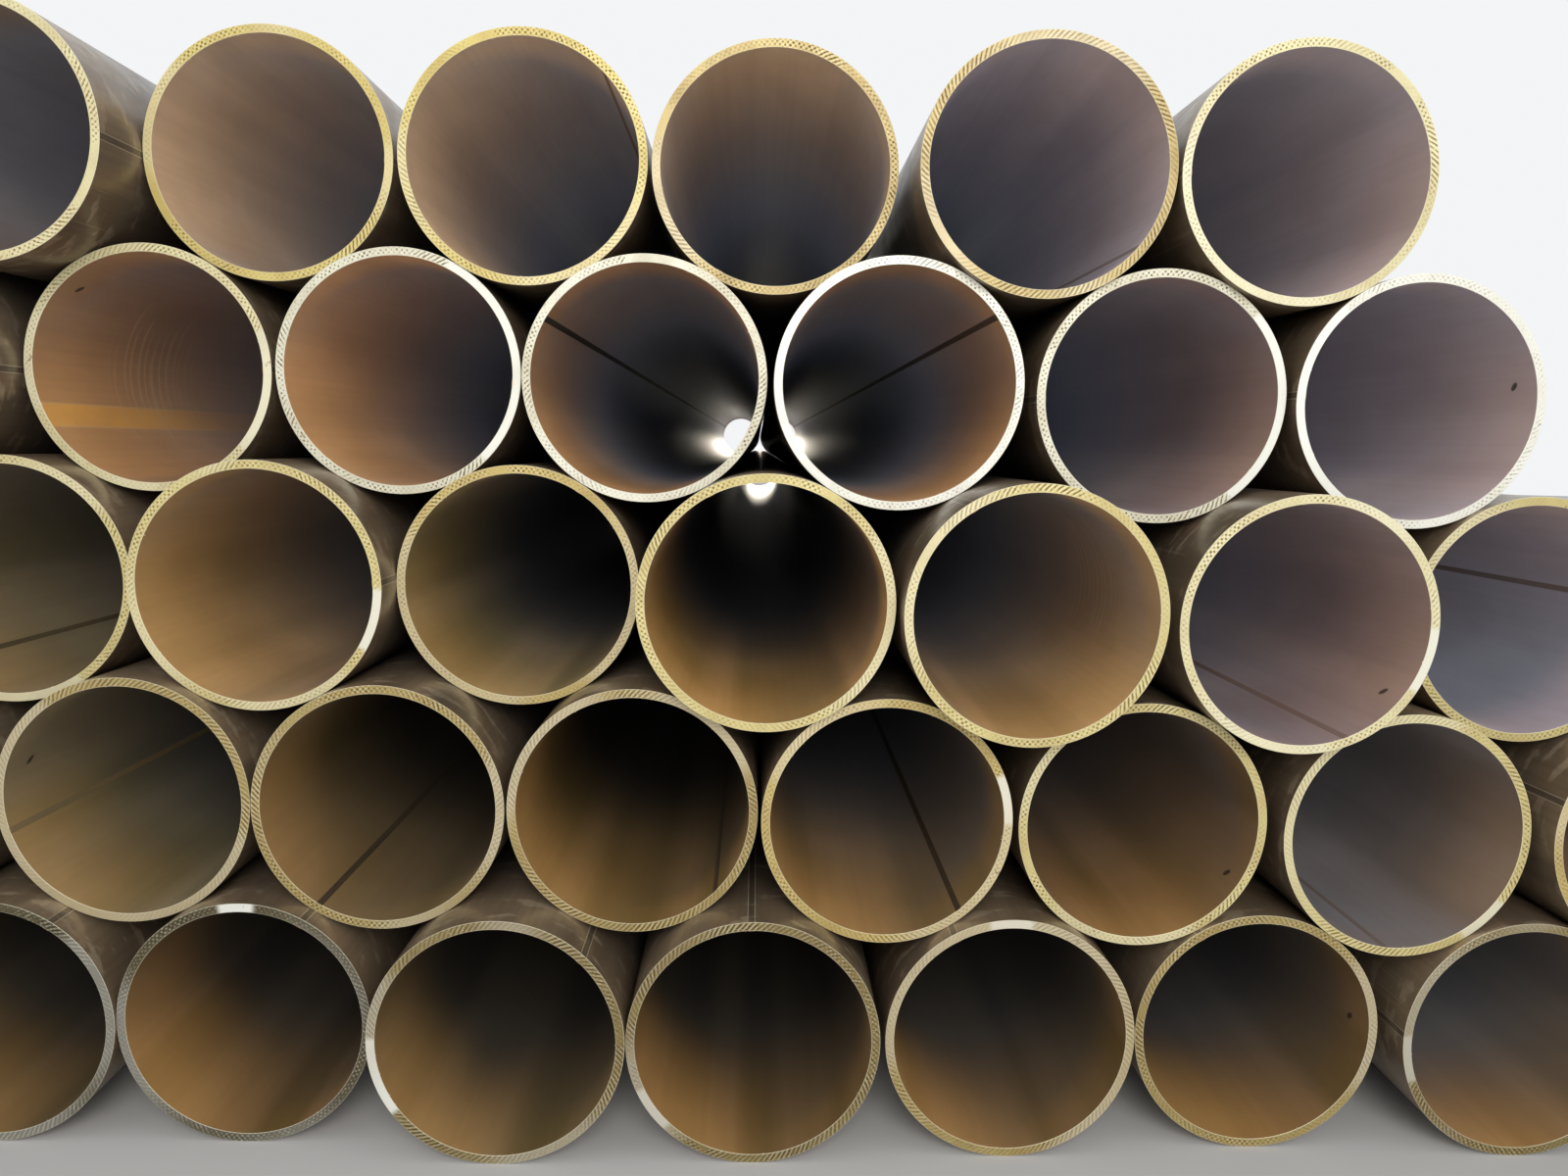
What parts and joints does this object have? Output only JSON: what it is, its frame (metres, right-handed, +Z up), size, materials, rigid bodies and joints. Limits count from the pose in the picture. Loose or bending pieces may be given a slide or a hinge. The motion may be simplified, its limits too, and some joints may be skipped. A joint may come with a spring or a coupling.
{
  "type": "stack of steel line pipes",
  "caption": "Large straight-seam welded steel pipes lying nested in a stepped yard stack, with bright square-cut open ends and a dull brown mill finish.",
  "frame": {"origin": "on the ground under the middle of the stack's bounding box", "axes": "+Y along the pipes away from their front ends, +Z up, +X to the right seen from the front"},
  "size_m": [4.6716, 12.29, 2.0349],
  "materials": {
    "pipe_steel": "brown mill finish outside, light rust in the bores, bright machined end faces"
  },
  "bodies": {
    "root": {"ground_row_pipe_1": "pipe_steel", "ground_row_pipe_2": "pipe_steel", "ground_row_pipe_3": "pipe_steel", "ground_row_pipe_4": "pipe_steel", "ground_row_pipe_5": "pipe_steel", "ground_row_pipe_6": "pipe_steel", "ground_row_pipe_7": "pipe_steel", "ground_row_pipe_8": "pipe_steel", "ground_row_pipe_9": "pipe_steel", "ground_row_pipe_10": "pipe_steel", "second_row_pipe_1": "pipe_steel", "second_row_pipe_2": "pipe_steel", "second_row_pipe_3": "pipe_steel", "second_row_pipe_4": "pipe_steel", "second_row_pipe_5": "pipe_steel", "second_row_pipe_6": "pipe_steel", "second_row_pipe_7": "pipe_steel", "second_row_pipe_8": "pipe_steel", "second_row_pipe_9": "pipe_steel", "third_row_pipe_1": "pipe_steel", "third_row_pipe_2": "pipe_steel", "third_row_pipe_3": "pipe_steel", "third_row_pipe_4": "pipe_steel", "third_row_pipe_5": "pipe_steel", "third_row_pipe_6": "pipe_steel", "third_row_pipe_7": "pipe_steel", "third_row_pipe_8": "pipe_steel", "fourth_row_pipe_1": "pipe_steel", "fourth_row_pipe_2": "pipe_steel", "fourth_row_pipe_3": "pipe_steel", "fourth_row_pipe_4": "pipe_steel", "fourth_row_pipe_5": "pipe_steel", "fourth_row_pipe_6": "pipe_steel", "fourth_row_pipe_7": "pipe_steel", "top_row_pipe_1": "pipe_steel", "top_row_pipe_2": "pipe_steel", "top_row_pipe_3": "pipe_steel", "top_row_pipe_4": "pipe_steel", "top_row_pipe_5": "pipe_steel", "top_row_pipe_6": "pipe_steel"}
  },
  "joints": []
}
